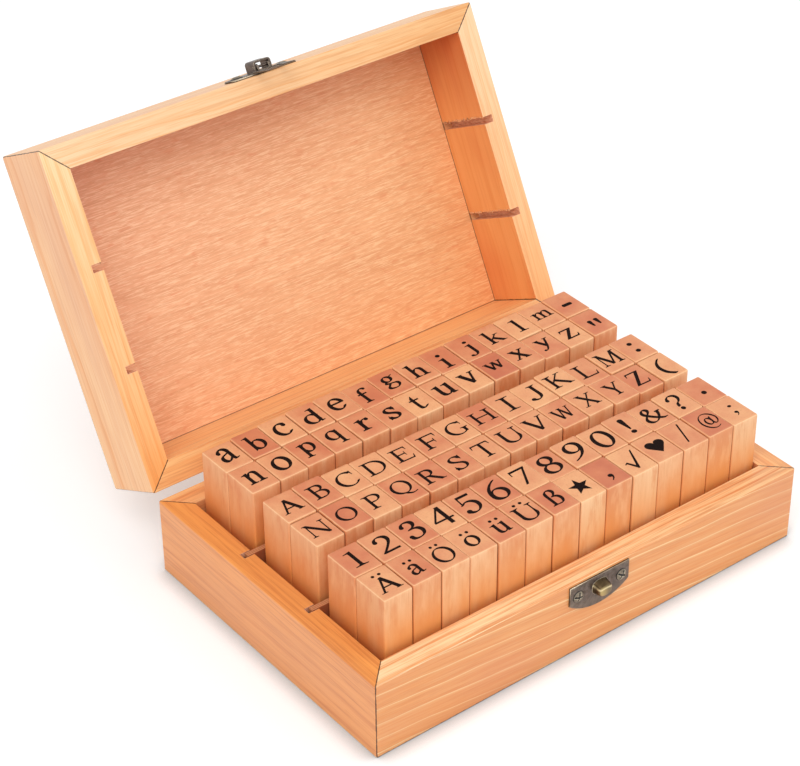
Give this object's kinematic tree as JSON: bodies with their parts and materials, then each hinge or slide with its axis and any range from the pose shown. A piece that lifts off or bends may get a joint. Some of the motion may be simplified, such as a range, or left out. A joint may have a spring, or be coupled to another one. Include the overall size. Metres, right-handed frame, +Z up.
{
  "type": "stamp box",
  "caption": "Hinged wooden box of alphabet stamps, shown open, with dividers and a small tongue latch; the stamps lift out on their rubber dies.",
  "frame": {"origin": "centre of the base's underside, on the surface that the box stands on", "axes": "+Z up, +X to the right as seen from the latch, +Y from the latch towards the hinges"},
  "size_m": [0.2, 0.2301, 0.1616],
  "materials": {
    "pine": "orange varnished pine, satin",
    "plywood": "stained plywood, satin",
    "stamp_wood": "oiled hardwood, satin",
    "rubber": "matt rubber die",
    "antique_bronze": "antique bronze plating, worn on the edges",
    "screw_steel": "dull plated steel"
  },
  "bodies": {
    "base": {"base_front_wall": "pine", "base_back_wall": "pine", "base_left_wall": "pine", "base_right_wall": "pine", "base_bottom_panel": "plywood", "front_divider": "plywood", "rear_divider": "plywood", "catch_plate": "antique_bronze", "left_hinge_base_leaf": "antique_bronze", "right_hinge_base_leaf": "antique_bronze", "left_hinge_pin": "antique_bronze", "right_hinge_pin": "antique_bronze", "catch_screws": "screw_steel", "hinge_base_screws": "screw_steel"},
    "lid": {"lid_front_wall": "pine", "lid_back_wall": "pine", "lid_left_wall": "pine", "lid_right_wall": "pine", "lid_top_panel": "plywood", "hasp_plate": "antique_bronze", "hasp_pin": "antique_bronze", "left_hinge_lid_leaf": "antique_bronze", "right_hinge_lid_leaf": "antique_bronze", "hasp_screws": "screw_steel", "hinge_lid_screws": "screw_steel"},
    "tongue": {"hasp_tongue": "antique_bronze"},
    "rear_stamp_set": {"rear_stamps": "stamp_wood", "rear_stamp_dies": "rubber"},
    "middle_stamp_set": {"middle_stamps": "stamp_wood", "middle_stamp_dies": "rubber"},
    "number_stamp_set": {"number_stamps": "stamp_wood", "number_stamp_dies": "rubber"},
    "capital_a_umlaut_stamp": {"stamp_capital_a_umlaut": "stamp_wood", "die_capital_a_umlaut": "rubber"},
    "small_a_umlaut_stamp": {"stamp_small_a_umlaut": "stamp_wood", "die_small_a_umlaut": "rubber"},
    "capital_o_umlaut_stamp": {"stamp_capital_o_umlaut": "stamp_wood", "die_capital_o_umlaut": "rubber"},
    "small_o_umlaut_stamp": {"stamp_small_o_umlaut": "stamp_wood", "die_small_o_umlaut": "rubber"},
    "small_u_umlaut_stamp": {"stamp_small_u_umlaut": "stamp_wood", "die_small_u_umlaut": "rubber"},
    "capital_u_umlaut_stamp": {"stamp_capital_u_umlaut": "stamp_wood", "die_capital_u_umlaut": "rubber"},
    "sharp_s_stamp": {"stamp_sharp_s": "stamp_wood", "die_sharp_s": "rubber"},
    "star_stamp": {"stamp_star": "stamp_wood", "die_star": "rubber"},
    "comma_stamp": {"stamp_comma": "stamp_wood", "die_comma": "rubber"},
    "check_stamp": {"stamp_check": "stamp_wood", "die_check": "rubber"},
    "heart_stamp": {"stamp_heart": "stamp_wood", "die_heart": "rubber"},
    "slash_stamp": {"stamp_slash": "stamp_wood", "die_slash": "rubber"},
    "at_sign_stamp": {"stamp_at_sign": "stamp_wood", "die_at_sign": "rubber"},
    "semicolon_stamp": {"stamp_semicolon": "stamp_wood", "die_semicolon": "rubber"}
  },
  "joints": [
    {"name": "lid_hinge", "type": "hinge", "parent": "base", "child": "lid", "pos_m": [0, 0.0683, 0.0325], "axis": [-1, 0, 0], "range_deg": [-117.3, 0]},
    {"name": "tongue_hinge", "type": "hinge", "parent": "lid", "child": "tongue", "pos_m": [0.0005, 0.13388, 0.15345], "axis": [-1, 0, 0], "range_deg": [0, 90]},
    {"name": "rear_stamps_lift", "type": "slide", "parent": "base", "child": "rear_stamp_set", "axis": [0, 0, 1], "range_m": [0, 0.06]},
    {"name": "middle_stamps_lift", "type": "slide", "parent": "base", "child": "middle_stamp_set", "axis": [0, 0, 1], "range_m": [0, 0.06]},
    {"name": "number_stamps_lift", "type": "slide", "parent": "base", "child": "number_stamp_set", "axis": [0, 0, 1], "range_m": [0, 0.06]},
    {"name": "capital_a_umlaut_lift", "type": "slide", "parent": "base", "child": "capital_a_umlaut_stamp", "axis": [0, 0, 1], "range_m": [0, 0.06]},
    {"name": "small_a_umlaut_lift", "type": "slide", "parent": "base", "child": "small_a_umlaut_stamp", "axis": [0, 0, 1], "range_m": [0, 0.06]},
    {"name": "capital_o_umlaut_lift", "type": "slide", "parent": "base", "child": "capital_o_umlaut_stamp", "axis": [0, 0, 1], "range_m": [0, 0.06]},
    {"name": "small_o_umlaut_lift", "type": "slide", "parent": "base", "child": "small_o_umlaut_stamp", "axis": [0, 0, 1], "range_m": [0, 0.06]},
    {"name": "small_u_umlaut_lift", "type": "slide", "parent": "base", "child": "small_u_umlaut_stamp", "axis": [0, 0, 1], "range_m": [0, 0.06]},
    {"name": "capital_u_umlaut_lift", "type": "slide", "parent": "base", "child": "capital_u_umlaut_stamp", "axis": [0, 0, 1], "range_m": [0, 0.06]},
    {"name": "sharp_s_lift", "type": "slide", "parent": "base", "child": "sharp_s_stamp", "axis": [0, 0, 1], "range_m": [0, 0.06]},
    {"name": "star_lift", "type": "slide", "parent": "base", "child": "star_stamp", "axis": [0, 0, 1], "range_m": [0, 0.06]},
    {"name": "comma_lift", "type": "slide", "parent": "base", "child": "comma_stamp", "axis": [0, 0, 1], "range_m": [0, 0.06]},
    {"name": "check_lift", "type": "slide", "parent": "base", "child": "check_stamp", "axis": [0, 0, 1], "range_m": [0, 0.06]},
    {"name": "heart_lift", "type": "slide", "parent": "base", "child": "heart_stamp", "axis": [0, 0, 1], "range_m": [0, 0.06]},
    {"name": "slash_lift", "type": "slide", "parent": "base", "child": "slash_stamp", "axis": [0, 0, 1], "range_m": [0, 0.06]},
    {"name": "at_sign_lift", "type": "slide", "parent": "base", "child": "at_sign_stamp", "axis": [0, 0, 1], "range_m": [0, 0.06]},
    {"name": "semicolon_lift", "type": "slide", "parent": "base", "child": "semicolon_stamp", "axis": [0, 0, 1], "range_m": [0, 0.06]}
  ]
}
